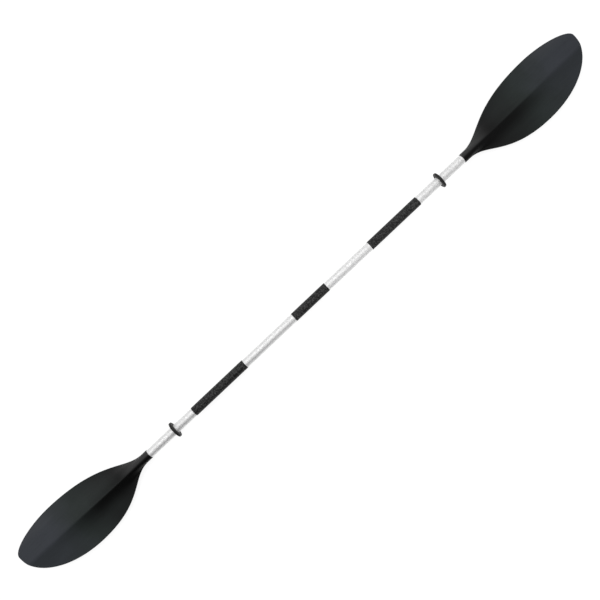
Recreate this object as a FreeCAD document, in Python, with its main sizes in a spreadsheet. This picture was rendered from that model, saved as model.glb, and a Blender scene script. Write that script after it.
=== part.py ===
import FreeCAD, Part
import math
import os

import Sketcher
from FreeCAD import Placement, Rotation, Vector

# Two-piece kayak paddle, lying on its back with both power faces up.
# +X runs along the shaft to the right blade, +Y is the side of the longer blade edge, +Z is up.
# The origin is on the shaft's axis, half way between the two blade tips. Lengths are in millimetres.

os.makedirs("parts", exist_ok=True)
doc = FreeCAD.newDocument("kayak_paddle")
sheet = doc.addObject("Spreadsheet::Sheet", "Sizes")

SIZES = {
    # shaft
    "tube_radius": 14.0,
    "tube_wall": 1.2,
    "neck_start": 652.0,            # from the origin to each blade's neck
    "socket_depth": 62.0,           # how far each tube goes into its blade
    # grips, drip rings and the black sleeve over the joint
    "grip_radius": 15.0,
    "left_grip_inner_end": 254.0,
    "left_grip_length": 212.0,
    "right_grip_inner_end": 267.0,
    "right_grip_length": 200.0,
    "grip_end_chamfer": 0.6,
    "sleeve_radius": 14.5,
    "sleeve_length": 136.0,
    "ring_radius": 26.5,
    "ring_width": 8.0,
    "ring_clearance": 0.2,
    "ring_edge_round": 2.6,
    "ring_lip_round": 0.8,
    "left_ring_place": 545.0,
    "right_ring_place": 558.0,
    # the joint between the halves
    "joint_place": 49.0,            # the joint's end face, left of the origin
    "joint_gap": 0.3,
    "ferrule_insertion": 95.0,
    "ferrule_in_left_tube": 60.0,
    "ferrule_clearance": 0.1,
    "ferrule_bore_radius": 9.6,
    "ferrule_chamfer": 1.5,
    "seal_place": 82.0,             # from the joint's end face to the seal's middle
    "seal_groove_radius": 11.0,
    "seal_groove_width": 2.6,
    "seal_ring_radius": 11.9,
    "seal_section_radius": 0.85,
    "ferrule_plug_length": 9.0,
    "bulkhead_gap": 6.0,
    "bulkhead_length": 14.0,
    # snap button and its spring
    "button_place": 30.0,           # from the joint's end face to the button's axis
    "button_radius": 3.4,
    "button_stand_out": 1.5,        # above the sleeve
    "button_nose_radius": 2.2,
    "button_nose_length": 0.8,
    "button_tail_radius": 1.9,
    "button_head_radius": 3.2,
    "button_head_length": 0.8,
    "hole_clearance": 0.1,
    "feather_angle": 60.0,
    "spring_radius": 8.7,
    "spring_thickness": 0.8,
    "spring_width": 7.0,
    "spring_leg_length": 22.0,
    "spring_leg_overhang": 7.0,
    # rivets
    "rivet_shank_radius": 1.6,
    "rivet_head_radius": 3.2,
    "rivet_head_height": 1.1,
    "rivet_bulb_radius": 2.5,
    "rivet_bulb_length": 1.3,
    "ferrule_rivet_pitch": 28.0,
    "ferrule_rivet_inset": 16.0,
    "blade_rivet_inset": 18.0,
    "blade_rivet_pitch": 26.0,
    # float plugs in the ends of the tubes
    "float_length": 55.0,
    "float_inset": 12.0,            # from the float's outer end to the neck's start
    # blades
    "neck_radius": 15.1,
    "neck_straight": 76.0,
    "blade_length": 498.0,
    "blade_thickness": 3.6,
    "blade_root": 20.0,             # where the outline leaves the neck
    "blade_root_lead": 68.0,
    "wide_place_long_edge": 336.0,
    "half_width_long_edge": 92.0,
    "lead_in_long_edge": 211.0,
    "lead_out_long_edge": 79.0,
    "wide_place_short_edge": 278.5,
    "half_width_short_edge": 94.6,
    "lead_in_short_edge": 164.5,
    "lead_out_short_edge": 123.0,
    "tip_side": 42.5,               # the tip lies this far towards the long edge
    "tip_lead_long_edge": 26.0,
    "tip_lead_short_edge": 83.0,
    "spoon_radius": 5800.0,
    "spoon_start": 40.0,
    "dihedral_angle": 5.0,
    "rib_end": 390.0,
    "rib_end_radius": 1.2,
}
for row, (alias, value) in enumerate(SIZES.items(), 1):
    sheet.set(f"A{row}", alias.replace("_", " "))
    sheet.set(f"B{row}", str(value))
    sheet.setAlias(f"B{row}", alias)
doc.recompute()


def size(alias):
    """A driving dimension as a plain number."""
    return float(sheet.get(alias))


def bind(thing, **expressions):
    """Bind properties to the sheet. place_x, place_y and place_z stand for the placement's position."""
    for name, expression in expressions.items():
        target = f"Placement.Base.{name[-1]}" if name.startswith("place_") else name
        thing.setExpression(target, expression)
    return thing


# Lengths that several pieces share, as expressions on the sheet
BORE = "(Sizes.tube_radius - Sizes.tube_wall)"
JOINT = "(-Sizes.joint_place)"
LEFT_END = f"({JOINT} - Sizes.joint_gap)"
BUTTON_X = f"({JOINT} + Sizes.button_place)"
FERRULE_RADIUS = f"({BORE} - Sizes.ferrule_clearance)"
FERRULE_END = f"({JOINT} + Sizes.ferrule_insertion)"
ALONG_X = Rotation(Vector(0, 1, 0), 90)
DOWN = Rotation(Vector(1, 0, 0), 180)
ALONG_Y = Rotation(Vector(1, 0, 0), -90)


def rod(name, radius, length, start, rotation=ALONG_X, **more):
    """A cylinder from start, along the shaft unless a rotation says otherwise."""
    thing = doc.addObject("Part::Cylinder", name)
    thing.Placement = Placement(Vector(), rotation)
    return bind(thing, Radius=radius, Height=length, place_x=start, **more)


def cone(name, radius_1, radius_2, length, start, rotation=ALONG_X, **more):
    thing = doc.addObject("Part::Cone", name)
    thing.Placement = Placement(Vector(), rotation)
    return bind(thing, Radius1=radius_1, Radius2=radius_2, Height=length, place_x=start, **more)


def box(name, length, width, height, **places):
    thing = doc.addObject("Part::Box", name)
    return bind(thing, Length=length, Width=width, Height=height, **places)


def fuse(name, *pieces):
    thing = doc.addObject("Part::MultiFuse", name)
    thing.Shapes = list(pieces)
    return thing


def cut(name, base, tool):
    thing = doc.addObject("Part::Cut", name)
    thing.Base, thing.Tool = base, tool
    return thing


def plane(body, role):
    return next(f for f in body.Origin.OriginFeatures if f.Role == role)


def named_constraint(sketch, name, constraint, expression):
    index = sketch.addConstraint(constraint)
    sketch.renameConstraint(index, name)
    sketch.setExpression(f"Constraints.{name}", expression)


def tube_body(name, outer, inner, length, start):
    """A body padded along the shaft from two circles about its axis."""
    body = doc.addObject("PartDesign::Body", name)
    section = body.newObject("Sketcher::SketchObject", f"{name}_section")
    section.AttachmentSupport = (plane(body, "YZ_Plane"), [""])
    section.MapMode = "FlatFace"
    for number, (edge, radius) in enumerate((("outer", outer), ("inner", inner))):
        guess = size("tube_radius") * (1 if edge == "outer" else 0.5)
        section.addGeometry(Part.Circle(Vector(), Vector(0, 0, 1), guess), False)
        section.addConstraint(Sketcher.Constraint("Coincident", number, 3, -1, 1))
        named_constraint(section, edge, Sketcher.Constraint("Radius", number, guess), radius)
    pad = body.newObject("PartDesign::Pad", f"{name}_pad")
    pad.Profile = section
    bind(pad, Length=length)
    bind(body, place_x=start)
    doc.recompute()
    return body


def circles_at(shape, x, radius):
    """Names of the circular edges of that radius about the shaft's axis, in the plane at x."""
    names = []
    for number, edge in enumerate(shape.Edges, 1):
        curve = edge.Curve
        if curve.TypeId == "Part::GeomCircle" and abs(curve.Radius - radius) < 1e-6:
            if abs(curve.Center.x - x) < 1e-6:
                names.append(f"Edge{number}")
    return names


def feather_holes(body, radius, place):
    """Three holes for the snap button, the middle one straight down, a feather angle apart."""
    sketch = body.newObject("Sketcher::SketchObject", f"{body.Name}_hole")
    sketch.AttachmentSupport = (plane(body, "XY_Plane"), [""])
    sketch.MapMode = "FlatFace"
    turn = Rotation(Vector(1, 0, 0), -size("feather_angle"))
    sketch.AttachmentOffset = Placement(Vector(), turn)
    guess = size("button_radius")
    sketch.addGeometry(Part.Circle(Vector(size("button_place"), 0, 0), Vector(0, 0, 1), guess), False)
    sketch.addConstraint(Sketcher.Constraint("PointOnObject", 0, 3, -1))
    named_constraint(sketch, "radius", Sketcher.Constraint("Radius", 0, guess), radius)
    along = Sketcher.Constraint("DistanceX", -1, 1, 0, 3, size("button_place"))
    named_constraint(sketch, "place", along, place)
    pocket = body.newObject("PartDesign::Pocket", f"{body.Name}_pocket")
    pocket.Profile = sketch
    pocket.Type = "ThroughAll"
    pattern = body.newObject("PartDesign::PolarPattern", f"{body.Name}_holes")
    pattern.Originals = [pocket]
    pattern.Axis = (plane(body, "X_Axis"), [""])
    pattern.Occurrences = 3
    bind(pattern, Angle="2 * Sizes.feather_angle")
    body.Tip = pattern
    doc.recompute()


# --- Tubes -------------------------------------------------------------------------------------

TUBE_END = "(Sizes.neck_start + Sizes.socket_depth)"
left_whole_tube = tube_body("left_whole_tube", "Sizes.tube_radius", BORE,
                            f"{TUBE_END} + {LEFT_END}", f"-{TUBE_END}")
right_shaft_tube = tube_body("right_shaft_tube", "Sizes.tube_radius", BORE,
                             f"{TUBE_END} - {JOINT}", JOINT)
feather_holes(right_shaft_tube, "Sizes.button_radius + 2 * Sizes.hole_clearance", "Sizes.button_place")

# --- Sleeve over the joint, and grips ----------------------------------------------------------

joint_sleeve = tube_body("joint_sleeve", "Sizes.sleeve_radius", "Sizes.tube_radius",
                         "Sizes.sleeve_length", JOINT)
feather_holes(joint_sleeve, "Sizes.button_radius + 4 * Sizes.hole_clearance", "Sizes.button_place")


def grip(name, length, start):
    body = tube_body(name, "Sizes.grip_radius", "Sizes.tube_radius", length, start)
    pad = body.Tip
    ends = [e for x in (0, pad.Length.Value) for e in circles_at(pad.Shape, x, size("grip_radius"))]
    chamfer = body.newObject("PartDesign::Chamfer", f"{name}_ends")
    chamfer.Base = (pad, ends)
    bind(chamfer, Size="Sizes.grip_end_chamfer")
    doc.recompute()
    return body


left_grip = grip("left_grip", "Sizes.left_grip_length",
                 "-(Sizes.left_grip_inner_end + Sizes.left_grip_length)")
right_grip = grip("right_grip", "Sizes.right_grip_length", "Sizes.right_grip_inner_end")

# --- Drip rings --------------------------------------------------------------------------------


def drip_ring(name, place):
    """A thick rubber ring with a rounded rim, revolved about the shaft's axis."""
    body = doc.addObject("PartDesign::Body", name)
    sketch = body.newObject("Sketcher::SketchObject", f"{name}_profile")
    sketch.AttachmentSupport = (plane(body, "XZ_Plane"), [""])
    sketch.MapMode = "FlatFace"
    half, inner, outer = size("ring_width") / 2, size("tube_radius") + 1, size("ring_radius")
    corners = [Vector(-half, inner, 0), Vector(half, inner, 0), Vector(half, outer, 0), Vector(-half, outer, 0)]
    for number in range(4):
        sketch.addGeometry(Part.LineSegment(corners[number], corners[(number + 1) % 4]), False)
    for number in range(4):
        sketch.addConstraint(Sketcher.Constraint("Coincident", number, 2, (number + 1) % 4, 1))
    for number, kind in enumerate(("Vertical", "Horizontal", "Vertical"), 1):
        sketch.addConstraint(Sketcher.Constraint(kind, number))
    sketch.addConstraint(Sketcher.Constraint("Symmetric", 0, 1, 0, 2, -2))
    named_constraint(sketch, "width", Sketcher.Constraint("DistanceX", 0, 1, 0, 2, 2 * half), "Sizes.ring_width")
    named_constraint(sketch, "bore", Sketcher.Constraint("DistanceY", -1, 1, 0, 1, inner),
                     "Sizes.tube_radius + Sizes.ring_clearance")
    named_constraint(sketch, "rim", Sketcher.Constraint("DistanceY", -1, 1, 2, 1, outer), "Sizes.ring_radius")
    turned = body.newObject("PartDesign::Revolution", f"{name}_turned")
    turned.Profile = sketch
    turned.ReferenceAxis = (sketch, ["H_Axis"])
    turned.Angle = 360
    doc.recompute()
    faces = (-half, half)
    bore = size("tube_radius") + size("ring_clearance")
    rim = body.newObject("PartDesign::Fillet", f"{name}_rim")
    rim.Base = (turned, [e for x in faces for e in circles_at(turned.Shape, x, outer)])
    bind(rim, Radius="Sizes.ring_edge_round")
    doc.recompute()
    lips = body.newObject("PartDesign::Fillet", f"{name}_lips")
    lips.Base = (rim, [e for x in faces for e in circles_at(rim.Shape, x, bore)])
    bind(lips, Radius="Sizes.ring_lip_round")
    bind(body, place_x=place)
    doc.recompute()
    return body


left_drip_ring = drip_ring("left_drip_ring", "-Sizes.left_ring_place")
right_drip_ring = drip_ring("right_drip_ring", "Sizes.right_ring_place")

# --- Rivets ------------------------------------------------------------------------------------


def rivet(name, x, surface, inside):
    """A blind rivet on the underside at x. surface is the radius its head sits on."""
    foot = f"{surface} - 0.8"
    head = cone(f"{name}_head", "Sizes.rivet_head_radius", "Sizes.rivet_head_radius / 2",
                "Sizes.rivet_head_height + 0.8", x, DOWN, place_z=f"-({foot})")
    seat = rod(f"{name}_seat", surface, "4 * Sizes.rivet_head_radius", f"{x} - 2 * Sizes.rivet_head_radius")
    shank = rod(f"{name}_shank", "Sizes.rivet_shank_radius", f"{surface} - {inside} + 0.6", x, DOWN,
                place_z=f"-({inside} - 0.4)")
    bulb = rod(f"{name}_bulb", "Sizes.rivet_bulb_radius", "Sizes.rivet_bulb_length", x, DOWN,
               place_z=f"-({inside} - 0.4 - Sizes.rivet_bulb_length)")
    return fuse(name, cut(f"{name}_cap", head, seat), shank, bulb)


def rivet_hole(name, x, surface):
    """The tool that drills one rivet's hole, from inside the tube down through the surface."""
    return rod(name, "Sizes.rivet_shank_radius", f"{surface} - 2", x, DOWN, place_z="-4")


FERRULE_RIVETS = [f"({LEFT_END} - Sizes.ferrule_rivet_inset - {n} * Sizes.ferrule_rivet_pitch)" for n in (0, 1)]
BLADE_RIVETS = [f"(Sizes.neck_start + Sizes.blade_rivet_inset + {n} * Sizes.blade_rivet_pitch)" for n in (0, 1)]


def compound(name, pieces):
    """Several separate solids kept in one sub-part."""
    thing = doc.addObject("Part::Compound", name)
    thing.Links = pieces
    return thing


ferrule_rivets = compound("ferrule_rivets", [
    rivet(f"ferrule_rivet_{n}", x, "Sizes.tube_radius", "Sizes.ferrule_bore_radius")
    for n, x in enumerate(FERRULE_RIVETS, 1)])
right_blade_rivets = compound("right_blade_rivets", [
    rivet(f"right_blade_rivet_{n}", x, "Sizes.neck_radius", BORE) for n, x in enumerate(BLADE_RIVETS, 1)])
left_blade_rivets = compound("left_blade_rivets", [
    rivet(f"left_blade_rivet_{n}", f"-{x}", "Sizes.neck_radius", BORE) for n, x in enumerate(BLADE_RIVETS, 1)])


def drilled(name, base, places):
    """The base with a rivet hole at each place."""
    drills = [rivet_hole(f"{name}_drill_{n}", x, "Sizes.neck_radius") for n, x in enumerate(places, 1)]
    return cut(name, base, fuse(f"{name}_drills", *drills))


left_shaft_tube = drilled("left_shaft_tube", left_whole_tube, FERRULE_RIVETS + [f"-{x}" for x in BLADE_RIVETS])
right_shaft_tube_drilled = drilled("right_tube", right_shaft_tube, BLADE_RIVETS)

# --- Ferrule that joins the halves -------------------------------------------------------------

ferrule_solid = fuse(
    "ferrule_solid",
    rod("ferrule_root", BORE, "Sizes.ferrule_in_left_tube", f"{LEFT_END} - Sizes.ferrule_in_left_tube"),
    rod("ferrule_spigot", FERRULE_RADIUS, f"{FERRULE_END} - {LEFT_END} - Sizes.ferrule_chamfer", LEFT_END),
    cone("ferrule_lead", FERRULE_RADIUS, f"{FERRULE_RADIUS} - Sizes.ferrule_chamfer", "Sizes.ferrule_chamfer",
         f"{FERRULE_END} - Sizes.ferrule_chamfer"),
)
SEAL_X = f"({JOINT} + Sizes.seal_place)"
GROOVE_START = f"({SEAL_X} - Sizes.seal_groove_width / 2)"
seal_groove = cut(
    "seal_groove",
    rod("groove_outside", "Sizes.tube_radius", "Sizes.seal_groove_width", GROOVE_START),
    rod("groove_bottom", "Sizes.seal_groove_radius", "Sizes.seal_groove_width", GROOVE_START),
)
ferrule_hollow = fuse(
    "ferrule_hollow",
    rod("ferrule_bore", "Sizes.ferrule_bore_radius",
        "Sizes.ferrule_in_left_tube + Sizes.ferrule_insertion + Sizes.joint_gap + 2",
        f"{LEFT_END} - Sizes.ferrule_in_left_tube - 1"),
    rod("ferrule_button_hole", "Sizes.button_radius + Sizes.hole_clearance", "Sizes.tube_radius", BUTTON_X, DOWN),
    *[rivet_hole(f"ferrule_drill_{n}", x, "Sizes.neck_radius") for n, x in enumerate(FERRULE_RIVETS, 1)],
)
male_ferrule = cut("male_ferrule", ferrule_solid, fuse("ferrule_cuts", ferrule_hollow, seal_groove))

ferrule_seal = doc.addObject("Part::Torus", "ferrule_seal")
ferrule_seal.Placement = Placement(Vector(), ALONG_X)
bind(ferrule_seal, Radius1="Sizes.seal_ring_radius", Radius2="Sizes.seal_section_radius", place_x=SEAL_X)

ferrule_plug = rod("ferrule_plug", "Sizes.ferrule_bore_radius", "Sizes.ferrule_plug_length",
                   f"{FERRULE_END} - Sizes.ferrule_plug_length")
tube_bulkhead = rod("tube_bulkhead", BORE, "Sizes.bulkhead_length", f"{FERRULE_END} + Sizes.bulkhead_gap")

# --- Snap button and its U spring --------------------------------------------------------------

BUTTON_TIP = "(Sizes.sleeve_radius + Sizes.button_stand_out)"
SHANK_LENGTH = f"({BUTTON_TIP} - Sizes.button_nose_length - Sizes.spring_radius)"
snap_button = fuse(
    "snap_button",
    cone("button_nose", "Sizes.button_radius", "Sizes.button_nose_radius", "Sizes.button_nose_length", BUTTON_X,
         DOWN, place_z=f"-({BUTTON_TIP} - Sizes.button_nose_length)"),
    rod("button_shank", "Sizes.button_radius", SHANK_LENGTH, BUTTON_X, DOWN, place_z="-Sizes.spring_radius"),
    rod("button_tail", "Sizes.button_tail_radius", "Sizes.spring_thickness + 0.02", BUTTON_X, DOWN,
        place_z="-(Sizes.spring_radius - Sizes.spring_thickness - 0.02)"),
    rod("button_head", "Sizes.button_head_radius", "Sizes.button_head_length", BUTTON_X, DOWN,
        place_z="-(Sizes.spring_radius - Sizes.spring_thickness - 0.02 - Sizes.button_head_length)"),
)


def u_block(name, radius, overhang):
    """A rounded-end block: two legs along the shaft, joined by a half round about the Y axis."""
    length = f"Sizes.spring_leg_length + {overhang}"
    legs = box(f"{name}_legs", length, "Sizes.spring_width", f"2 * ({radius})",
               place_x=f"{BUTTON_X} - {overhang}", place_y="-Sizes.spring_width / 2", place_z=f"-({radius})")
    bend = rod(f"{name}_bend", radius, "Sizes.spring_width", f"{BUTTON_X} + Sizes.spring_leg_length", ALONG_Y,
               place_y="-Sizes.spring_width / 2")
    return fuse(name, legs, bend)


spring_strip = cut(
    "spring_strip",
    u_block("spring_outside", "Sizes.spring_radius", "Sizes.spring_leg_overhang"),
    u_block("spring_inside", "Sizes.spring_radius - Sizes.spring_thickness", "2 * Sizes.spring_leg_overhang"),
)
button_spring = cut("button_spring", spring_strip,
                    rod("spring_hole", "Sizes.button_tail_radius + Sizes.hole_clearance", "Sizes.tube_radius",
                        BUTTON_X, DOWN))

# --- Float plugs -------------------------------------------------------------------------------

FLOAT_END = "(Sizes.neck_start - Sizes.float_inset)"
right_float_plug = rod("right_float_plug", BORE, "Sizes.float_length", f"{FLOAT_END} - Sizes.float_length")
left_float_plug = rod("left_float_plug", BORE, "Sizes.float_length", f"-{FLOAT_END}")

# --- Blades ------------------------------------------------------------------------------------


def bezier(*poles):
    curve = Part.BezierCurve()
    curve.setPoles([Vector(x, y, 0) for x, y in poles])
    return curve.toShape()


def long_and_short_edge(side):
    """The two curves of one blade edge, from the neck to the tip. side is +1 for the long edge."""
    which = "long" if side > 0 else "short"
    wide_x, wide_y = size(f"wide_place_{which}_edge"), side * size(f"half_width_{which}_edge")
    root_x, root_y = size("blade_root"), side * size("neck_radius")
    tip_x, tip_y = size("blade_length"), size("tip_side")
    first = bezier((root_x, root_y), (root_x + size("blade_root_lead"), root_y),
                   (wide_x - size(f"lead_in_{which}_edge"), wide_y), (wide_x, wide_y))
    second = bezier((wide_x, wide_y), (wide_x + size(f"lead_out_{which}_edge"), wide_y),
                    (tip_x, tip_y + side * size(f"tip_lead_{which}_edge")), (tip_x, tip_y))
    return first, second


def blade_outline():
    """The blade seen from above, with the neck's start at the local origin."""
    root_x, root_y = size("blade_root"), size("neck_radius")
    edges = [Part.makeLine(Vector(root_x, -root_y, 0), Vector(root_x, root_y, 0))]
    edges += long_and_short_edge(1) + long_and_short_edge(-1)
    return Part.Face(Part.Wire(Part.__sortEdges__(edges)))


def spoon_profile():
    """The blade's lengthwise section: two arcs about one centre, a blade's thickness apart."""
    centre = Vector(size("spoon_start"), 0, size("spoon_radius"))
    first, last = size("blade_root"), size("blade_length") + 20

    def point(x, radius):
        return Vector(x, 0, centre.z - math.sqrt(radius ** 2 - (x - centre.x) ** 2))

    radii = [size("spoon_radius") + side * size("blade_thickness") / 2 for side in (1, -1)]
    arcs = [Part.Arc(point(first, r), point((first + last) / 2, r), point(last, r)).toShape() for r in radii]
    ends = [Part.makeLine(point(x, radii[0]), point(x, radii[1])) for x in (first, last)]
    return Part.Face(Part.Wire(Part.__sortEdges__([*arcs, *ends])))


def shape_feature(name, shape):
    thing = doc.addObject("Part::Feature", name)
    thing.Shape = shape
    return bind(thing, place_x="Sizes.neck_start")


def extrusion(name, base, direction, forward, backward="0"):
    thing = doc.addObject("Part::Extrusion", name)
    thing.Base = base
    thing.DirMode = "Custom"
    thing.Dir = direction
    thing.Solid = True
    return bind(thing, LengthFwd=forward, LengthRev=backward)


outline = shape_feature("blade_outline", blade_outline())
profile = shape_feature("spoon_profile", spoon_profile())
outline_block = extrusion("outline_block", outline, Vector(0, 0, 1), "60", "60")
tilt = math.radians(size("dihedral_angle"))
wings = [
    extrusion(f"{name}_wing", profile, Vector(0, side * math.cos(tilt), -math.sin(tilt)),
              "1.2 * Sizes.half_width_short_edge")
    for name, side in (("long", 1), ("short", -1))
]
blade_plate = doc.addObject("Part::MultiCommon", "blade_plate")
blade_plate.Shapes = [fuse("wings", *wings), outline_block]


def rib_circle(number, along, radius, rise):
    """One section of the round neck that fades into the blade as a rib."""
    thing = doc.addObject("Part::Circle", f"rib_circle_{number}")
    thing.Placement = Placement(Vector(), ALONG_X)
    return bind(thing, Radius=radius, place_x=f"Sizes.neck_start + {along}", place_z=rise)


neck = rod("neck", "Sizes.neck_radius", "Sizes.neck_straight", "Sizes.neck_start")
RIB_LENGTH = "(Sizes.rib_end - Sizes.neck_straight)"
rib = doc.addObject("Part::Loft", "rib")
rib.Sections = [
    rib_circle(
        number,
        f"(Sizes.neck_straight + {share} * {RIB_LENGTH})",
        f"Sizes.neck_radius + {share} * (Sizes.rib_end_radius - Sizes.neck_radius)",
        f"(pow({share} * {RIB_LENGTH}; 2)) / (2 * Sizes.spoon_radius)",
    )
    for number, share in enumerate((0, 0.25, 0.5, 0.75, 1), 1)
]
rib.Solid = True
rib.Ruled = False

socket = rod("socket", "Sizes.tube_radius", "Sizes.socket_depth + 1", "Sizes.neck_start - 1")
blade_solid = fuse("blade_solid", blade_plate, rib, neck)
right_blade = drilled("right_blade", cut("right_blade_socketed", blade_solid, socket), BLADE_RIVETS)
left_blade = doc.addObject("Part::Mirroring", "left_blade")
left_blade.Source = right_blade
left_blade.Normal = Vector(1, 0, 0)

doc.recompute()

# --- Check and write ---------------------------------------------------------------------------

SUB_PARTS = {
    "left_blade": left_blade,
    "right_blade": right_blade,
    "left_shaft_tube": left_shaft_tube,
    "right_shaft_tube": right_shaft_tube_drilled,
    "left_grip": left_grip,
    "right_grip": right_grip,
    "joint_sleeve": joint_sleeve,
    "left_drip_ring": left_drip_ring,
    "right_drip_ring": right_drip_ring,
    "male_ferrule": male_ferrule,
    "ferrule_rivets": ferrule_rivets,
    "ferrule_seal": ferrule_seal,
    "ferrule_plug": ferrule_plug,
    "snap_button": snap_button,
    "button_spring": button_spring,
    "tube_bulkhead": tube_bulkhead,
    "left_float_plug": left_float_plug,
    "right_float_plug": right_float_plug,
    "left_blade_rivets": left_blade_rivets,
    "right_blade_rivets": right_blade_rivets,
}
for thing in doc.Objects:
    if "Invalid" in thing.State or "Error" in thing.State:
        raise RuntimeError(f"{thing.Name} failed: {thing.State}")
for label, thing in SUB_PARTS.items():
    if thing.Shape.isNull() or not thing.Shape.isValid() or not thing.Shape.Solids:
        raise RuntimeError(f"{label} has no valid solid")
for label, thing in SUB_PARTS.items():
    thing.Label = label
    thing.Shape.exportStep(f"parts/{label}.step")
    extent = thing.Shape.BoundBox
    print(f"{label:20s} solids {len(thing.Shape.Solids)}  volume {thing.Shape.Volume:10.1f}  "
          f"x {extent.XMin:8.1f} {extent.XMax:8.1f}  y {extent.YMin:6.1f} {extent.YMax:6.1f}  "
          f"z {extent.ZMin:6.1f} {extent.ZMax:6.1f}")
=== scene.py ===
"""The looks of a two-piece kayak paddle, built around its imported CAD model.

+X runs along the shaft to the right blade, +Y is the side of the longer blade edge, and +Z is up,
out of the blades' power faces. Lengths are in metres.
"""

import math

import bmesh
import bpy
import numpy as np
from bpy.props import FloatProperty, FloatVectorProperty, IntProperty, PointerProperty
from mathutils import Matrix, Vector


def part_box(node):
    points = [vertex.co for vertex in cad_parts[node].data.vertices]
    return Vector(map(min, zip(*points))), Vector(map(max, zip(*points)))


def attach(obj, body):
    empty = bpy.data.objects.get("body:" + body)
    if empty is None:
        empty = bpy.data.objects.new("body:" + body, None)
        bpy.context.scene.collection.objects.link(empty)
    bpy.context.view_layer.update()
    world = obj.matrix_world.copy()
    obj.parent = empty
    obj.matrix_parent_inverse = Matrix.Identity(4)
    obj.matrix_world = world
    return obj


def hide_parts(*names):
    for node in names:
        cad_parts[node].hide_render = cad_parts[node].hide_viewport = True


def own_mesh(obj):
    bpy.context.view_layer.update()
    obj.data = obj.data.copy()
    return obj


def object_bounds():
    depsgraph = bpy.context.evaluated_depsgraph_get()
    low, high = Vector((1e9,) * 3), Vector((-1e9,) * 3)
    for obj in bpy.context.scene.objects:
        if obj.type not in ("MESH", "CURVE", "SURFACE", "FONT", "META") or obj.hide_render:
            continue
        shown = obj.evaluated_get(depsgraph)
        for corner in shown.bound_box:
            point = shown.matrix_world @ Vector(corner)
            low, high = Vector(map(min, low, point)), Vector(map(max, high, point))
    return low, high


bl_info = {
    "name": "Kayak Paddle",
    "version": (1, 0, 0),
    "blender": (4, 5, 0),
    "location": "3D View > Sidebar > Paddle",
    "description": "Builds the blades, shaft, grips and fittings of a two-piece kayak paddle",
    "category": "Object",
}

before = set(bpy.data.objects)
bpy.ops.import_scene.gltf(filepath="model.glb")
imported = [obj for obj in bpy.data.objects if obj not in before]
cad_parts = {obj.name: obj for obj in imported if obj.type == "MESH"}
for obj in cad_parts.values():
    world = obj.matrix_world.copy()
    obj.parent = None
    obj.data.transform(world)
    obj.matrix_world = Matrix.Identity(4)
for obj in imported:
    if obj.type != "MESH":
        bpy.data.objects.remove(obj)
cad_low, cad_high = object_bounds()

LEFT, RIGHT = -1, 1
HALF_OF = {LEFT: "left_half", RIGHT: "right_half"}
SIDE_NAME = {LEFT: "left", RIGHT: "right"}


# --- Sizes and colours -------------------------------------------------------------------------


def length(name, default, description):
    return FloatProperty(name=name, description=description, default=default, min=0.0,
                         subtype="DISTANCE", unit="LENGTH", precision=5)


def share(name, default, description):
    return FloatProperty(name=name, description=description, default=default,
                         min=0.0, max=1.0, subtype="FACTOR")


def colour(name, default, description):
    return FloatVectorProperty(name=name, description=description, default=(*default, 1.0), size=4,
                               min=0.0, max=1.0, subtype="COLOR")


def node_span(node, axis):
    """Lowest and highest coordinate of a CAD node along an axis."""
    low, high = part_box(node)
    return low[axis], high[axis]


NECK_START = node_span("right_blade", 0)[0]
BLADE_LENGTH = node_span("right_blade", 0)[1] - NECK_START
TUBE_RADIUS = node_span("right_shaft_tube", 1)[1]
TUBE_END = node_span("right_shaft_tube", 0)[1]

PUSH_FIT = 0.00002      # gap between the tube and what is pushed onto it
RING_GAP = 0.0002       # gap between the tube and a drip ring
BORE_ROUND = 0.0008     # rounding of a drip ring's bore
LIP_ROUND = 0.0006      # where a blade's neck starts, past its rounded lip
RIDGE_ROUND = 0.0024    # rounding of the crease along a blade's ridge
NARROWEST = 0.02        # least half width that the fall eases off over
FAR_FROM_EDGE = 0.05    # edge distance of points that never wear

# Where a change along a blade starts, measured from the neck's end, and how long it takes
RIDGE_MOVES = (0.10, 0.40)
CURL_EASES = (0.30, 0.15)
HUMP_WIDENS = (0.030, 0.095)
CREST_WIDENS = (0.08, 0.25)
CREST_TAKES_OVER = (0.050, 0.080)
FRONT_SINKS = (0.050, 0.420)
BACK_SINKS = (0.045, 0.250)
BACK_FOLLOWS = (0.140, 0.180)

# How long a change takes that starts at the root
PLATE_GROWS = 0.085
HUMP_SHARPENS = 0.075

# What each change starts from, or comes to
CURL_LOSS = 0.5
HUMP_EXTRA_WIDTH = 0.018
HUMP_POWER, HUMP_EXTRA_POWER = 0.5, 1.4
CREST_REACH, CREST_EXTRA_REACH = 0.022, 0.010
FRONT_POWER = 1.1
BACK_SHARE = 0.6


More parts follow.
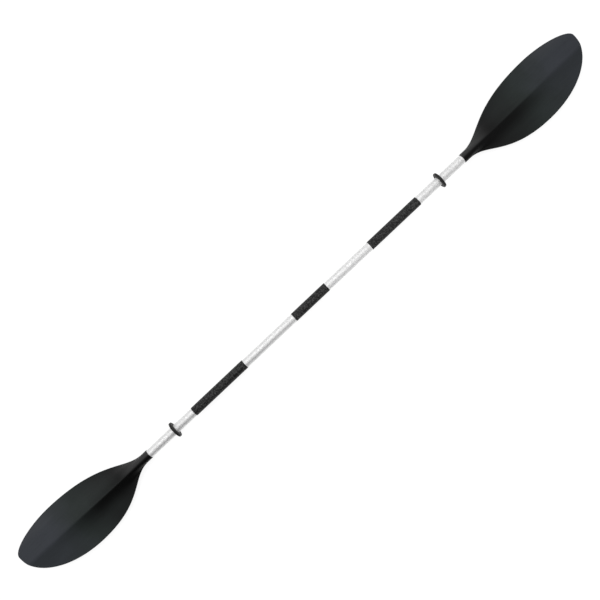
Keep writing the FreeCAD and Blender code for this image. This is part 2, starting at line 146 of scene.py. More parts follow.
class PADDLE_PG_blade(bpy.types.PropertyGroup):
    """Sizes and colours of the two blades, which mirror each other."""
    neck_radius: length("Neck radius", 0.0151, "Outside radius of the round neck")
    root: length("Root", 0.020, "Distance from the neck's end to where the outline leaves it")
    root_lead: length("Root lead", 0.068, "How far the outline runs on along the neck's line")
    wide_long: length("Long edge's widest place", 0.336, "Distance along the blade to it")
    width_long: length("Long edge's half width", 0.092, "Greatest half width on the long side")
    lead_in_long: length("Long edge lead in", 0.211, "Handle before the widest place")
    lead_out_long: length("Long edge lead out", 0.079, "Handle after the widest place")
    wide_short: length("Short edge's widest place", 0.2785, "Distance along the blade to it")
    width_short: length("Short edge's half width", 0.0946, "Greatest half width on the short side")
    lead_in_short: length("Short edge lead in", 0.1645, "Handle before the widest place")
    lead_out_short: length("Short edge lead out", 0.123, "Handle after the widest place")
    tip_side: length("Tip offset", 0.0425, "How far the tip lies towards the long edge")
    tip_lead_long: length("Tip lead, long edge", 0.026, "Handle at the tip on the long side")
    tip_lead_short: length("Tip lead, short edge", 0.083, "Handle at the tip on the short side")
    thickness: length("Thickness", 0.0036, "Thickness of the blade away from its ridge")
    spoon_radius: length("Spoon radius", 5.8, "Radius of the blade's lengthwise curve")
    spoon_start: length("Spoon start", 0.040, "Where the lengthwise curve begins")
    edge_radius: length("Edge radius", 0.0021, "Width of the rounding along the edge")
    fall: FloatProperty(name="Fall", description="Slope from the ridge down to the edges",
                        default=math.radians(9.5), min=0.0, max=0.3, subtype="ANGLE")
    curl: share("Curl", 0.45, "How much the slope eases off from the ridge to the edges")
    ridge_side: length("Ridge offset", 0.008, "How far the ridge moves towards the long edge")
    stations: IntProperty(name="Stations", description="Sections along the blade",
                          default=300, min=40)
    across: IntProperty(name="Across", description="Points across one face", default=110, min=20)
    colour: colour("Blade", (0.0050, 0.0050, 0.0050), "Moulded plastic by the neck")
    # painted light: the neck's long side, which faces the light, is painted paler
    neck_painted_light: colour("Blade neck", (0.036, 0.036, 0.036), "Plastic on the neck's long side")
    # painted shade: the black along the ridge's foot on its short side stands in for shade
    foot_painted_shade: colour("Ridge foot", (0.0006, 0.0006, 0.0006),
                        "Blackest plastic, along the ridge's short side")
    # partly painted light: the paling from the neck through the middle to the tip is partly the
    # plastic's own tone
    middle_colour: colour("Blade middle", (0.0185, 0.0240, 0.0230), "Paler plastic in the middle")
    tip_tint_and_light: colour("Blade tip", (0.0335, 0.0375, 0.0455),
                       "Cooler, paler plastic towards the tip")
    # real wear along the edge, and also painted light towards the long edge near the tip
    wear_and_light_colour: colour("Blade wear", (0.075, 0.078, 0.08), "Plastic scuffed pale along the edge")


class PADDLE_PG_shaft(bpy.types.PropertyGroup):
    """Sizes and colours of the shaft's sleeves and rings."""
    end_round: length("End rounding", 0.0006, "Rounding of a grip's ends")
    rim_round: length("Rim rounding", 0.0026, "Rounding of a drip ring's rim")
    dish_depth: length("Dish depth", 0.0009, "Depth of the dish in each side of a drip ring")
    tube_colour: colour("Tube", (0.86, 0.86, 0.86), "Satin aluminium")
    grip_colour: colour("Grip", (0.0005, 0.0005, 0.0005), "Black soft sleeve")
    ring_colour: colour("Drip ring", (0.003, 0.003, 0.003), "Black rubber")


class PADDLE_PG_stage(bpy.types.PropertyGroup):
    """Floor, light and camera."""
    view_width: length("View width", 1.821, "Width of the view at the shaft's height")
    camera_height: length("Camera height", 2.5, "Height of the camera above the shaft")
    camera_x: FloatProperty(name="Camera X", description="Camera's place along the shaft",
                            default=0.0002)
    camera_y: FloatProperty(name="Camera Y", description="Camera's place across the shaft",
                            default=0.0262)
    roll: FloatProperty(name="Roll", description="Turn of the shaft in the view",
                        default=math.radians(43.32), subtype="ANGLE")
    floor_colour: colour("Floor", (0.25, 0.25, 0.25), "Floor, which also glows")
    floor_glow: FloatProperty(name="Floor glow", description="Light that the floor gives off",
                              default=0.86, min=0.0)


# --- Meshes ------------------------------------------------------------------------------------


def ease(t):
    """Zero up to t = 0, one from t = 1, and a smooth cubic between."""
    t = np.clip(t, 0.0, 1.0)
    return t * t * (3 - 2 * t)


def change(x, start, run):
    """How far a change along a blade has come at x: zero up to start, one after start + run."""
    return ease((x - start) / run)


def quads(rows, columns, wrap_rows=False):
    """Corner numbers of the faces of a grid whose rows are loops. Wrapped, so are its columns."""
    numbers = np.arange(rows * columns).reshape(rows, columns)
    below = numbers if wrap_rows else numbers[:-1]
    above = np.roll(numbers, -1, 0) if wrap_rows else numbers[1:]
    corners = [below, np.roll(below, -1, 1), np.roll(above, -1, 1), above]
    return np.stack(corners, -1).reshape(-1, 4)


def signed_volume(points, faces):
    """Volume by the divergence theorem, as a sum over each face's fan: negative inside out."""
    corners = points[faces]
    first, rest = corners[:, :1], corners[:, 1:]
    cross = np.cross(rest[:, :-1], rest[:, 1:])
    return np.einsum("fck,fck->", np.broadcast_to(first, cross.shape), cross) / 6


def add_object(name, data):
    """A new object at the origin, in the scene."""
    added = bpy.data.objects.new(name, data)
    bpy.context.scene.collection.objects.link(added)
    return added


def new_piece(name, points, face_groups):
    """A smooth piece from points and lists of equal-sided faces, turned to point outwards."""
    if sum(signed_volume(points, faces) for faces in face_groups) < 0:
        face_groups = [faces[:, ::-1] for faces in face_groups]
    every_face = [face for faces in face_groups for face in faces.tolist()]
    mesh = bpy.data.meshes.new(name)
    mesh.from_pydata(points.tolist(), [], every_face)
    mesh.polygons.foreach_set("use_smooth", np.full(len(mesh.polygons), True))
    mesh.update()
    return add_object(name, mesh)


def closed_rows(name, rows, first_pole, last_pole):
    """A closed surface from loops of points, with a pole before the first and after the last."""
    count, around = rows.shape[:2]
    points = np.vstack([rows.reshape(-1, 3), first_pole, last_pole])
    loop = np.arange(around)
    start = np.stack([np.full(around, count * around), np.roll(loop, -1), loop], 1)
    end = (count - 1) * around + loop
    finish = np.stack([np.full(around, count * around + 1), end, np.roll(end, -1)], 1)
    return new_piece(name, points, [quads(count, around), start, finish])


def turned_ring(name, profile, around=144):
    """A closed profile of (x, radius) points turned about the shaft: y = r cos a, z = r sin a."""
    angle = np.linspace(0, 2 * math.pi, around, endpoint=False)
    x, radius = profile.T
    y, z = np.outer(radius, np.cos(angle)), np.outer(radius, np.sin(angle))
    points = np.stack([np.repeat(x[:, None], around, 1), y, z], -1)
    return new_piece(name, points.reshape(-1, 3), [quads(len(profile), around, wrap_rows=True)])


def rounded_box_profile(x_low, x_high, r_low, r_high, inner_round, outer_round, steps=8):
    """A rectangle in (x, radius) with quarter-circle corners, as one closed loop."""
    corners = [
        (x_high, r_low, inner_round, -90), (x_high, r_high, outer_round, 0),
        (x_low, r_high, outer_round, 90), (x_low, r_low, inner_round, 180),
    ]
    arcs = []
    for x, r, corner, start in corners:
        angle = np.radians(start + np.linspace(0, 90, steps + 1))
        middle_x = x - corner if x == x_high else x + corner
        middle_r = r + corner if r == r_low else r - corner
        arc = [middle_x + corner * np.cos(angle), middle_r + corner * np.sin(angle)]
        arcs.append(np.stack(arc, 1))
    return np.vstack(arcs)


def cut_long_runs(profile, axis, longest, steps):
    """The closed profile, with straight runs over longest along axis cut to shade evenly."""
    following = np.roll(profile, -1, 0)
    long_run = np.abs(following[:, axis] - profile[:, axis]) > longest
    runs = []
    for start, end, is_long in zip(profile, following, long_run):
        runs.append(np.linspace(start, end, steps + 1)[:-1] if is_long else start[None])
    return np.vstack(runs)


def merged_copy(node, name):
    """A piece with a CAD node's triangles, joined where they meet and sharp where they turn."""
    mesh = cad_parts[node].data.copy()
    triangles = bmesh.new()
    triangles.from_mesh(mesh)
    bmesh.ops.remove_doubles(triangles, verts=triangles.verts, dist=1e-7)
    triangles.to_mesh(mesh)
    triangles.free()
    mesh.shade_smooth()
    mesh.set_sharp_from_angle(angle=math.radians(30))
    return add_object(name, mesh)


# --- Shaders -----------------------------------------------------------------------------------


class Value:
    """A number socket. Python's arithmetic on it adds Math nodes."""

    def __init__(self, shader, socket):
        self.shader, self.socket = shader, socket

    def _math(self, operation, *values):
        inputs = dict(enumerate(values))
        return self.shader.value("ShaderNodeMath", {"operation": operation}, inputs)

    def __add__(self, other):
        return self._math("ADD", self, other)

    def __sub__(self, other):
        return self._math("SUBTRACT", self, other)

    def __mul__(self, other):
        return self._math("MULTIPLY", self, other)

    def __rsub__(self, other):
        return self._math("SUBTRACT", other, self)

    def __abs__(self):
        return self._math("ABSOLUTE", self)

    __radd__, __rmul__ = __add__, __mul__


class Shader:
    """The nodes of a material or world, with one method that adds any node."""

    def __init__(self, owner, surface="Principled BSDF", place="Object", **constants):
        self.owner = bpy.data.materials.new(owner) if isinstance(owner, str) else owner
        self.owner.use_nodes = True
        self.nodes, self.links = self.owner.node_tree.nodes, self.owner.node_tree.links
        self.surface = self.nodes[surface]
        self.place = self.node("ShaderNodeTexCoord").outputs[place]
        for socket, constant in constants.items():
            self.surface.inputs[socket.replace("_", " ")].default_value = constant

    def node(self, kind, settings=None, inputs=None):
        made = self.nodes.new(kind)
        for name, setting in (settings or {}).items():
            if name == "stops":
                for stop, (position, tint) in zip(made.color_ramp.elements, setting):
                    stop.position, stop.color = position, tint
            else:
                setattr(made, name, setting)
        for socket, given in (inputs or {}).items():
            self.feed(made.inputs[socket], given)
        return made

    def feed(self, socket, given):
        given = given.socket if isinstance(given, Value) else given
        if isinstance(given, bpy.types.NodeSocket):
            self.links.new(given, socket)
        else:
            socket.default_value = given

    def value(self, kind, settings=None, inputs=None, output=0):
        return Value(self, self.node(kind, settings, inputs).outputs[output])

    def noise(self, scale, detail, roughness, vector=None):
        inputs = {"Vector": vector or self.place, "Scale": scale, "Detail": detail,
                  "Roughness": roughness}
        return self.value("ShaderNodeTexNoise", None, inputs, "Fac")

    def cells(self, scale):
        inputs = {"Vector": self.place, "Scale": scale}
        return self.value("ShaderNodeTexVoronoi", None, inputs, "Distance")

    def stretched(self, scale, location=(0.0, 0.0, 0.0)):
        inputs = {"Vector": self.place, "Scale": scale, "Location": location}
        return self.node("ShaderNodeMapping", None, inputs).outputs["Vector"]

    def axis(self, name):
        return self.value("ShaderNodeSeparateXYZ", None, {"Vector": self.place}, name)

    def band(self, value, low, high):
        """Zero below low, one above high, smooth between."""
        settings = {"interpolation_type": "SMOOTHSTEP", "clamp": True}
        inputs = {"Value": value, "From Min": low, "From Max": high}
        return self.value("ShaderNodeMapRange", settings, inputs)

    def attribute(self, name):
        return self.value("ShaderNodeAttribute", {"attribute_name": name}, None, "Fac")

    def blend_colours(self, amount, first, second, mode="MIX"):
        settings = {"data_type": "RGBA", "blend_type": mode}
        return self.node("ShaderNodeMix", settings, {0: amount, 6: first, 7: second}).outputs[2]

    def bump(self, height, distance, strength, under=None):
        inputs = {"Height": height, "Distance": distance, "Strength": strength}
        if under is not None:
            inputs["Normal"] = under
        return self.node("ShaderNodeBump", None, inputs).outputs["Normal"]

    def finish(self, **surface):
        for socket, given in surface.items():
            self.feed(self.surface.inputs[socket.replace("_", " ")], given)
        return self.owner


def grey(level):
    return (level, level, level, 1.0)


def blade_plastic(props):
    """Satin moulded plastic: cloudy flow marks, fine grain, scuffs and a pale worn edge.

    Its tone runs from black by the neck to a cool grey at the tip, partly the plastic's own tone
    and partly painted light. Painted light makes the neck's long side and the long edge near the
    tip paler, and painted shade makes the ridge's foot on the short side blackest.
    """
    shader = Shader("blade_plastic", IOR=1.46, Specular_IOR_Level=0.16)
    reach = abs(shader.axis("X"))
    side = shader.axis("Y")

    def along(place, start, end):
        return shader.band(place, NECK_START + start, NECK_START + end)

    clouds = shader.noise(9.0, detail=4.0, roughness=0.5)
    streaks = shader.noise(1.0, detail=5.0, roughness=0.6,
                           vector=shader.stretched((14.0, 160.0, 60.0)))
    grain = shader.noise(2600.0, detail=2.0, roughness=0.6)
    scuffs = shader.noise(1.0, detail=6.0, roughness=0.75,
                          vector=shader.stretched((90.0, 900.0, 300.0), (0.3, 0.1, 0.0)))

    # tones along the blade, whose limits wander with the clouds except by the neck; the paling
    # towards the tip is partly the plastic's own tone and partly painted light
    wandering = reach + 0.16 * (clouds - 0.5)
    towards_middle = along(wandering, 0.08, 0.32)
    towards_tip = along(wandering, 0.26, 0.42)
    # painted light: paler on the neck's long side, which faces the light
    neck_painted_light_mask = (1 - along(reach, 0.060, 0.124)) * shader.band(side, -0.003, 0.008)
    # partly painted light: the tip's tint is stronger on the long side, which faces the light
    tip_tint_and_light_share = towards_tip * (0.70 + 0.30 * shader.band(side, -0.01, 0.01))
    # painted light: paler towards the long edge near the tip, on the side facing the light
    long_edge_painted_light = 0.22 * towards_tip * shader.band(side, 0.040, 0.085)
    plastic = shader.blend_colours(neck_painted_light_mask, tuple(props.colour), tuple(props.neck_painted_light))
    plastic = shader.blend_colours(towards_middle, plastic, tuple(props.middle_colour))
    plastic = shader.blend_colours(tip_tint_and_light_share, plastic, tuple(props.tip_tint_and_light))
    plastic = shader.blend_colours(long_edge_painted_light, plastic, tuple(props.wear_and_light_colour))

    # flow marks
    stops = {"stops": [(0.3, grey(0.35)), (0.7, grey(0.65))]}
    marks = shader.node("ShaderNodeValToRGB", stops, {"Fac": streaks * 0.6 + clouds * 0.4})
    plastic = shader.blend_colours(0.35, plastic, marks.outputs["Color"], "OVERLAY")

    # painted shade: black along the ridge's foot on the short side, away from the light, which
    # fades towards the tip
    foot = shader.band(side, -0.055, -0.012) * (1 - shader.band(side, -0.002, 0.004))
    foot = foot * (1 - 0.85 * along(reach, 0.17, 0.36))
    plastic = shader.blend_colours(foot * 0.88, plastic, tuple(props.foot_painted_shade))

    # wear along the edge, broken up by the scuffs
    edge = shader.attribute("edge_distance") + 0.0016 * (scuffs - 0.5)
    worn = (1 - shader.band(edge, 0.0004, 0.0026)) * shader.band(scuffs, 0.42, 0.62)
    plastic = shader.blend_colours(worn * 0.5, plastic, tuple(props.wear_and_light_colour))
    fine = shader.band(scuffs, 0.60, 0.80) * towards_tip

    normal = shader.bump(streaks, distance=0.00012, strength=0.5)
    normal = shader.bump(grain, distance=0.00002, strength=0.35, under=normal)
    roughness = 0.33 + 0.10 * clouds + 0.12 * fine + 0.12 * worn
    return shader.finish(Base_Color=plastic, Roughness=roughness, Normal=normal)


def satin_aluminium(props):
    """Drawn and lightly blasted tube: fine speckle, faint draw lines and hairline scratches."""
    shader = Shader("satin_aluminium", Metallic=1.0)
    mottle = shader.noise(170.0, detail=4.0, roughness=0.65)
    speckle = shader.noise(900.0, detail=3.0, roughness=0.7)
    lines = shader.noise(1.0, detail=5.0, roughness=0.7,
                         vector=shader.stretched((6.0, 1500.0, 1500.0)))
    around = shader.noise(1.0, detail=3.0, roughness=0.6,
                          vector=shader.stretched((900.0, 40.0, 40.0)))
    scratches = shader.band(around, 0.66, 0.74)
    blotches = shader.noise(260.0, detail=2.0, roughness=0.5)
    tone = 0.97 + 0.16 * (mottle - 0.5) + 0.12 * (speckle - 0.5)
    tone = tone + 0.70 * (blotches - 0.5) - 0.10 * scratches
    shade = shader.node("ShaderNodeCombineColor", None, {0: tone, 1: tone, 2: tone})
    tint = shader.blend_colours(1.0, tuple(props.tube_colour), shade.outputs["Color"], "MULTIPLY")
    normal = shader.bump(lines, distance=0.00002, strength=0.4)
    normal = shader.bump(speckle, distance=0.00004, strength=0.5, under=normal)
    roughness = 0.58 + 0.10 * mottle + 0.10 * scratches
    return shader.finish(Base_Color=tint, Roughness=roughness, Normal=normal)


def soft_sleeve(props):
    """Soft black sleeve: small pebbles, a dark mottling, and tiny pale specks where dust sits."""
    shader = Shader("soft_sleeve", IOR=1.45, Specular_IOR_Level=0.34)
    pebbles = shader.cells(520.0)
    cloth = shader.noise(230.0, detail=3.0, roughness=0.6)
    dust = shader.band(shader.noise(300.0, detail=2.0, roughness=0.5), 0.66, 0.74)
    mottled = shader.band(cloth, 0.46, 0.60)
    rubber = shader.blend_colours(mottled, tuple(props.grip_colour), grey(0.038))
    rubber = shader.blend_colours(dust * 0.45, rubber, grey(0.25))
    normal = shader.bump(1 - pebbles, distance=0.00022, strength=0.8)
    return shader.finish(Base_Color=rubber, Roughness=0.45 + 0.2 * cloth, Normal=normal)


def ring_rubber(props):
    """Moulded rubber: smooth, slightly bloomed, with a fine grain."""
    shader = Shader("ring_rubber", IOR=1.48, Specular_IOR_Level=0.35)
    bloom = shader.noise(60.0, detail=4.0, roughness=0.6)
    grain = shader.noise(1500.0, detail=2.0, roughness=0.6)
    rubber = shader.blend_colours(bloom, tuple(props.ring_colour), grey(0.009))
    normal = shader.bump(grain, distance=0.00003, strength=0.5)
    return shader.finish(Base_Color=rubber, Roughness=0.50 + 0.16 * bloom, Normal=normal)


def moulded_nylon(name, low, high, scale):
    """Moulded nylon or rubber for the hidden fittings: two close greys and a fine grain."""
    shader = Shader(name, IOR=1.5)
    clouds = shader.noise(scale, detail=4.0, roughness=0.6)
    grain = shader.noise(scale * 20, detail=2.0, roughness=0.6)
    plastic = shader.blend_colours(clouds, grey(low), grey(high))
    normal = shader.bump(grain, distance=0.00003, strength=0.5)
    return shader.finish(Base_Color=plastic, Roughness=0.42 + 0.2 * clouds, Normal=normal)


def bright_metal(name, level, roughness):
    """Turned or pressed metal: fine lines and small stains."""
    shader = Shader(name, Metallic=1.0)
    lines = shader.noise(1.0, detail=4.0, roughness=0.6,
                         vector=shader.stretched((2500.0, 300.0, 300.0)))
    stains = shader.noise(700.0, detail=3.0, roughness=0.6)
    metal = shader.blend_colours(stains, grey(level * 0.82), grey(level))
    normal = shader.bump(lines, distance=0.00001, strength=0.5)
    return shader.finish(Base_Color=metal, Roughness=roughness + 0.18 * lines, Normal=normal)


def closed_cell_foam():
    """White foam with small closed cells."""
    shader = Shader("closed_cell_foam", IOR=1.4)
    cells = shader.cells(900.0)
    clouds = shader.noise(120.0, detail=3.0, roughness=0.6)
    foam = shader.blend_colours(clouds, grey(0.66), grey(0.80))
    normal = shader.bump(cells, distance=0.0002, strength=0.8)
    return shader.finish(Base_Color=foam, Roughness=0.80 + 0.1 * clouds, Normal=normal)


def dress(obj, material):
    obj.data.materials.clear()
    obj.data.materials.append(material)


def place_piece(piece, body, slot, material, *nodes):
    """The piece moves with the body, stands for the CAD nodes and takes the material."""
    dress(piece, material)
    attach(piece, body)
    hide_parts(*nodes)


# --- Blades ------------------------------------------------------------------------------------


def bezier(poles, steps=4000):
    """A cubic Bezier curve: the poles weighted by (1-t)^3, 3t(1-t)^2, 3t^2(1-t) and t^3."""
    t = np.linspace(0, 1, steps)[:, None]
    weights = ((1 - t) ** 3, 3 * t * (1 - t) ** 2, 3 * t * t * (1 - t), t ** 3)
    return sum(weight * np.array(pole) for weight, pole in zip(weights, poles))


def blade_edge(props, x, long_side):
    """Half width on one side at x, and its slope: a straight neck, then two cubic curves."""
    if long_side:
        side, wide_x, wide_y = 1, props.wide_long, props.width_long
        lead_in, lead_out = props.lead_in_long, props.lead_out_long
        tip_lead = props.tip_lead_long
    else:
        side, wide_x, wide_y = -1, props.wide_short, props.width_short
        lead_in, lead_out = props.lead_in_short, props.lead_out_short
        tip_lead = props.tip_lead_short
    radius, tip_y = props.neck_radius, side * props.tip_side
    first = bezier([(props.root, radius), (props.root + props.root_lead, radius),
                    (wide_x - lead_in, wide_y), (wide_x, wide_y)])
    second = bezier([(wide_x, wide_y), (wide_x + lead_out, wide_y),
                     (BLADE_LENGTH, tip_y + tip_lead), (BLADE_LENGTH, tip_y)])
    line = np.vstack([[(0.0, radius)], first, second[1:]])
    # a hair more at each point, so that x always rises and the slope can be taken
    rising_x = np.maximum.accumulate(line[:, 0] + 1e-12 * np.arange(len(line)))
    slope = np.gradient(line[:, 1], rising_x)
    return np.interp(x, line[:, 0], line[:, 1]), np.interp(x, line[:, 0], slope)


def blade_faces(props, x, y, half_long, half_short, edge):
    """Heights of the power face and the back at (x, y), edge being the distance to the outline.

    The middle surface is the spoon's parabola less a fall from the ridge, |y| (1 - c |y| / w),
    which eases off towards each edge. Both faces lie half a thickness from it, rounded off along
    the edge by a quarter circle. The neck's round section turns into the ridge: a hump
    (1 - (y/w)^2)^p, which starts as the exact half circle, p = 1/2, and becomes a crest that falls
    off as exp(-|y| / reach). The ridge sinks towards the tip, sooner on the back, which follows
    the front's crest with a share of its height.
    """
    radius = props.neck_radius
    half_thickness = props.thickness / 2
    tall = radius - half_thickness
    grown = change(x, props.root, PLATE_GROWS)
    y = y - props.ridge_side * change(x, *RIDGE_MOVES)
    from_ridge = np.sqrt(y * y + RIDGE_ROUND ** 2) - RIDGE_ROUND
    rounding = radius + (props.edge_radius - radius) * grown
    rounded = np.sqrt(1 - (1 - np.clip(edge / rounding, 0, 1)) ** 2)
    spoon = np.maximum(x - props.spoon_start, 0) ** 2 / (2 * props.spoon_radius)
    width = np.maximum(np.where(y > 0, half_long, half_short), NARROWEST)
    curl = props.curl * (1 - CURL_LOSS * change(x, *CURL_EASES))
    eased = 1 - curl * np.minimum(from_ridge / width, 1)
    middle = spoon - math.tan(props.fall) * from_ridge * eased * grown

    hump_width = radius + HUMP_EXTRA_WIDTH * change(x, *HUMP_WIDENS)
    hump_power = HUMP_POWER + HUMP_EXTRA_POWER * change(x, props.root, HUMP_SHARPENS)
    hump = np.clip(1 - (y / hump_width) ** 2, 0, 1) ** hump_power
    crest = np.exp(-from_ridge / (CREST_REACH + CREST_EXTRA_REACH * change(x, *CREST_WIDENS)))
    ridge = hump + (crest - hump) * change(x, *CREST_TAKES_OVER)

    front_height = tall * (1 - change(x, *FRONT_SINKS)) ** FRONT_POWER
    back_height = tall * (1 - change(x, *BACK_SINKS))
    follow = BACK_SHARE * front_height * change(x, *BACK_FOLLOWS)
    fade = rounded ** grown
    front = middle + half_thickness * rounded + front_height * ridge * fade
    back = middle - half_thickness * rounded - back_height * hump + follow * crest * fade
    return front, back


def neck_mouth(props):
    """Loops of the neck's open end: the socket's wall, then a half-round lip, each a circle.

    They run as the blade's own loops do, over the front from the short edge, and back.
    """
    socket = TUBE_RADIUS + PUSH_FIT
    lip = props.neck_radius
    wall = (lip - socket) / 2
    turn = np.radians(np.linspace(0, 180, 9))
    mouth = [(TUBE_END - NECK_START, socket)]
    mouth += [(LIP_ROUND - wall * math.sin(a), lip - wall - wall * math.cos(a)) for a in turn[:-1]]
    mouth = np.array(mouth)
    angle = math.pi - math.pi * np.arange(props.across + 1) / props.across
    angle = np.concatenate([angle, -angle[-2:0:-1]])
    return np.stack([
        np.repeat(mouth[:, :1], len(angle), 1),
        mouth[:, 1:] * np.cos(angle),
        mouth[:, 1:] * np.sin(angle),
    ], -1)


def blade(name, props, side):
    """One blade. Each section is a loop: over the power face from the short edge, and back.

    Sections crowd towards the tip as a parabola, and points towards both edges as a cosine.
    """
    share_along = np.linspace(0, 1, props.stations)
    x_blade = BLADE_LENGTH - (BLADE_LENGTH - props.root) * (1 - share_along) ** 2
    x = np.concatenate([np.linspace(LIP_ROUND, props.root, 9)[:-1], x_blade[:-1]])[:, None]
    half_long, slope_long = blade_edge(props, x, True)
    half_short, slope_short = blade_edge(props, x, False)
    across = (1 - np.cos(math.pi * np.linspace(0, 1, props.across + 1))) / 2
    y = -half_short + (half_long + half_short) * across
    edge = np.minimum((half_long - y) / np.hypot(1, slope_long),
                      (y + half_short) / np.hypot(1, slope_short))
    front, back = blade_faces(props, x, y, half_long, half_short, np.maximum(edge, 0))
    x_grid = np.broadcast_to(x, y.shape)
    over = np.stack([x_grid, y, front], -1)
    under = np.stack([x_grid, y, back], -1)[:, -2:0:-1]
    skin = np.concatenate([over, under], 1)
    neck = neck_mouth(props)

    to_frame = np.array([side, 1, 1])
    start = np.array([side * NECK_START, 0, 0])
    pole = (TUBE_END - NECK_START, 0, 0)
    tip = (BLADE_LENGTH, props.tip_side, (front[-1, 0] + back[-1, 0]) / 2)
    piece = closed_rows(name, np.vstack([neck, skin]) * to_frame + start,
                        pole * to_frame + start, tip * to_frame + start)

    edge_rows = np.concatenate([edge, edge[:, -2:0:-1]], 1)
    neck_points = neck.shape[0] * neck.shape[1]
    distances = np.concatenate([np.full(neck_points, FAR_FROM_EDGE), edge_rows.ravel(),
                                [FAR_FROM_EDGE, 0.0]])
    attribute = piece.data.attributes.new("edge_distance", "FLOAT", "POINT")
    attribute.data.foreach_set("value", distances.astype(np.float32))
    return piece


class PADDLE_OT_blades(bpy.types.Operator):
    """Make both blades, the left one mirrored"""
    bl_idname = "paddle.blades"
    bl_label = "Blades"

    def execute(self, context):
        props = context.scene.paddle_blade
        plastic = blade_plastic(props)
        for side in (LEFT, RIGHT):
            name = SIDE_NAME[side]
            piece = blade(f"{name}_blade_shell", props, side)
            place_piece(piece, HALF_OF[side], "blade", plastic, f"{name}_blade")
        return {"FINISHED"}


# --- Shaft -------------------------------------------------------------------------------------


class PADDLE_OT_tubes(bpy.types.Operator):
    """Give both shaft tubes their metal"""
    bl_idname = "paddle.tubes"
    bl_label = "Shaft tubes"

    def execute(self, context):
        metal = satin_aluminium(context.scene.paddle_shaft)
        for side in ("left", "right"):
            dress(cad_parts[f"{side}_shaft_tube"], metal)
        return {"FINISHED"}


def grip_profile(node, end_round):
    """Section of a grip in (x, radius): its CAD box with rounded corners, clear of the tube."""
    low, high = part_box(node)
    bore = TUBE_RADIUS + PUSH_FIT
    profile = rounded_box_profile(low.x, high.x, bore, high.y, end_round / 6, end_round)
    return cut_long_runs(profile, 0, longest=0.02, steps=40)


class PADDLE_OT_grips(bpy.types.Operator):
    """Make the two grips, and give the joint's sleeve the same finish"""
    bl_idname = "paddle.grips"
    bl_label = "Grips"

    def execute(self, context):
        props = context.scene.paddle_shaft
        rubber = soft_sleeve(props)
        for side in (LEFT, RIGHT):
            node = f"{SIDE_NAME[side]}_grip"
            piece = turned_ring(f"{node}_sleeve", grip_profile(node, props.end_round))
            place_piece(piece, HALF_OF[side], "grip", rubber, node)
        dress(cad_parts["joint_sleeve"], rubber)
        return {"FINISHED"}


def ring_profile(node, props):
    """Section of a drip ring in (x, radius): a thick rounded rectangle.

    Each side dips between bore and rim, by the dish's depth times (1 - cos 2 pi t) / 2.
    """
    low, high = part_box(node)
    bore = TUBE_RADIUS + RING_GAP
    middle, half = (low.x + high.x) / 2, (high.x - low.x) / 2
    profile = rounded_box_profile(low.x, high.x, bore, high.y, BORE_ROUND, props.rim_round, 12)
    profile = cut_long_runs(profile, 1, longest=0.005, steps=16)
    r_low, r_high = bore + BORE_ROUND, high.y - props.rim_round
    inside = np.clip((profile[:, 1] - r_low) / (r_high - r_low), 0, 1)
    dip = props.dish_depth * (1 - np.cos(2 * math.pi * inside)) / 2
    from_middle = profile[:, 0] - middle
    on_a_side = np.abs(from_middle) > half * 0.99
    profile[:, 0] -= np.sign(from_middle) * dip * on_a_side
    return profile


class PADDLE_OT_drip_rings(bpy.types.Operator):
    """Make the two drip rings"""
    bl_idname = "paddle.drip_rings"
    bl_label = "Drip rings"

    def execute(self, context):
        props = context.scene.paddle_shaft
        rubber = ring_rubber(props)
        for side in (LEFT, RIGHT):
            name = SIDE_NAME[side]
            profile = ring_profile(f"{name}_drip_ring", props)
            piece = turned_ring(f"{name}_ring", profile, around=192)
            place_piece(piece, f"{name}_ring", "drip_ring", rubber, f"{name}_drip_ring")
        return {"FINISHED"}


# --- Joint and fasteners -----------------------------------------------------------------------


class PADDLE_OT_joint(bpy.types.Operator):
    """Finish the ferrule, its seal, stopper and button, and make the spring's strip"""
    bl_idname = "paddle.joint"
    bl_label = "Ferrule and button"

    def execute(self, context):
        finishes = {
            "male_ferrule": moulded_nylon("ferrule_nylon", low=0.030, high=0.055, scale=90.0),
            "ferrule_seal": moulded_nylon("seal_rubber", low=0.010, high=0.018, scale=200.0),
            "ferrule_plug": moulded_nylon("stopper_rubber", low=0.018, high=0.030, scale=150.0),
            "snap_button": bright_metal("button_steel", level=0.62, roughness=0.22),
        }
        for node, material in finishes.items():
            dress(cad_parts[node], material)

        strip = merged_copy("button_spring", "button_spring_strip")
        steel = bright_metal("spring_steel", level=0.50, roughness=0.30)
        place_piece(strip, "left_half", "spring", steel, "button_spring")
        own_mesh(strip)
        return {"FINISHED"}


class PADDLE_OT_rivets(bpy.types.Operator):
    """Give the rivets their metal"""
    bl_idname = "paddle.rivets"
    bl_label = "Rivets"

    def execute(self, context):
        metal = bright_metal("rivet_aluminium", level=0.78, roughness=0.30)
        for node in ("ferrule_rivets", "left_blade_rivets", "right_blade_rivets"):
            dress(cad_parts[node], metal)
        return {"FINISHED"}


class PADDLE_OT_floats(bpy.types.Operator):
    """Give the foam plugs in the tubes their foam"""
    bl_idname = "paddle.floats"
    bl_label = "Float plugs"

    def execute(self, context):
        foam = closed_cell_foam()
        for node in ("left_float_plug", "right_float_plug", "tube_bulkhead"):
            dress(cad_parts[node], foam)
        return {"FINISHED"}


# --- Stage -------------------------------------------------------------------------------------

FLOOR_REACH = 200.0
VIEW_REACH = 500.0

DIMMEST = 0.08          # light from low down on the short-edge side
FROM_ABOVE = 0.85       # added from above and from the long-edge side
LOWER_WALL = 0.35       # taken away low down on the long-edge side
RIGHT_END = 0.45        # added to the dim side, towards the right blade
BACKDROP = 0.94         # light that the camera sees


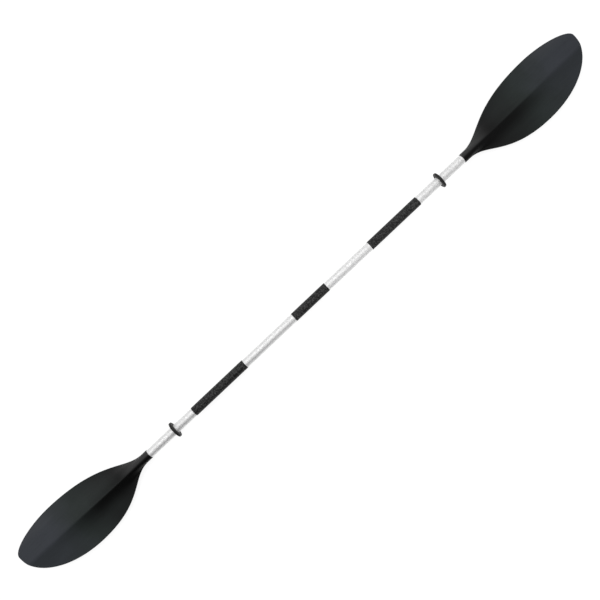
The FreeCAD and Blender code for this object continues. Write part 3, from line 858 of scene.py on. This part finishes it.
def studio_world():
    """A pale room whose light comes from above and dims low down on the short-edge side."""
    world = bpy.data.worlds.new("studio")
    bpy.context.scene.world = world
    shader = Shader(world, "Background", "Generated", Color=grey(1.0))
    towards_light = shader.axis("Y")
    lit = shader.band(towards_light, -0.72, 0.12)
    lower_wall = shader.band(towards_light, 0.45, 0.95)
    right_end = shader.band(shader.axis("X"), 0.0, 0.32)
    light = DIMMEST + FROM_ABOVE * lit - LOWER_WALL * lower_wall
    light = light + RIGHT_END * right_end * (1 - lit)
    seen = shader.value("ShaderNodeLightPath", None, None, "Is Camera Ray")
    shader.finish(Strength=light + (BACKDROP - light) * seen)


def area_light(name, place, target, width, height, power):
    light = bpy.data.lights.new(name, "AREA")
    light.shape, light.size, light.size_y, light.energy = "RECTANGLE", width, height, power
    lamp = add_object(name, light)
    lamp.location = place
    lamp.rotation_euler = (Vector(target) - Vector(place)).to_track_quat("-Z", "Y").to_euler()


class PADDLE_OT_stage(bpy.types.Operator):
    """Make the floor, the lights and the camera"""
    bl_idname = "paddle.stage"
    bl_label = "Stage"

    def execute(self, context):
        props = context.scene.paddle_stage
        corners = FLOOR_REACH * np.array([(-1, -1), (1, -1), (1, 1), (-1, 1)])
        points = np.hstack([corners, np.full((4, 1), cad_low.z)])
        mesh = bpy.data.meshes.new("floor")
        mesh.from_pydata(points.tolist(), [], [(0, 1, 2, 3)])
        floor = add_object("floor", mesh)
        shader = Shader("pale_floor", Roughness=0.9, Specular_IOR_Level=0.1,
                        Base_Color=tuple(props.floor_colour),
                        Emission_Color=grey(1.0), Emission_Strength=props.floor_glow)
        dress(floor, shader.owner)

        studio_world()
        area_light("key", place=(-0.3, 1.3, 2.6), target=(0.0, 0.0, 0.0),
                   width=2.6, height=1.2, power=20.0)
        area_light("fill", place=(0.38, -0.52, 0.50), target=(0.38, -0.30, 0.0),
                   width=0.55, height=0.75, power=0.9)

        lens = bpy.data.cameras.new("camera")
        lens.sensor_width = 36.0
        lens.lens = lens.sensor_width * props.camera_height / props.view_width
        lens.clip_end = VIEW_REACH
        camera = add_object("camera", lens)
        camera.location = (props.camera_x, props.camera_y, props.camera_height)
        camera.rotation_euler = (0.0, 0.0, -props.roll)
        context.scene.camera = camera
        context.scene.view_settings.view_transform = "Standard"
        return {"FINISHED"}


# --- Add-on ------------------------------------------------------------------------------------

OPERATORS = (PADDLE_OT_blades, PADDLE_OT_tubes, PADDLE_OT_grips, PADDLE_OT_drip_rings,
             PADDLE_OT_joint, PADDLE_OT_rivets, PADDLE_OT_floats, PADDLE_OT_stage)


class PADDLE_PT_panel(bpy.types.Panel):
    """The paddle's tools"""
    bl_label = "Kayak paddle"
    bl_idname = "PADDLE_PT_panel"
    bl_space_type = "VIEW_3D"
    bl_region_type = "UI"
    bl_category = "Paddle"

    def draw(self, context):
        for operator in OPERATORS:
            self.layout.operator(operator.bl_idname)


GROUPS = {
    "paddle_blade": PADDLE_PG_blade,
    "paddle_shaft": PADDLE_PG_shaft,
    "paddle_stage": PADDLE_PG_stage,
}


def register():
    for cls in (*GROUPS.values(), *OPERATORS, PADDLE_PT_panel):
        bpy.utils.register_class(cls)
    for name, group in GROUPS.items():
        setattr(bpy.types.Scene, name, PointerProperty(type=group))


def unregister():
    for name in GROUPS:
        delattr(bpy.types.Scene, name)
    for cls in (PADDLE_PT_panel, *reversed(OPERATORS), *reversed(GROUPS.values())):
        bpy.utils.unregister_class(cls)


def main():
    register()
    bpy.ops.paddle.stage()
    bpy.ops.paddle.blades()
    bpy.ops.paddle.tubes()
    bpy.ops.paddle.grips()
    bpy.ops.paddle.drip_rings()
    bpy.ops.paddle.joint()
    bpy.ops.paddle.rivets()
    bpy.ops.paddle.floats()


if __name__ == "__main__":
    main()
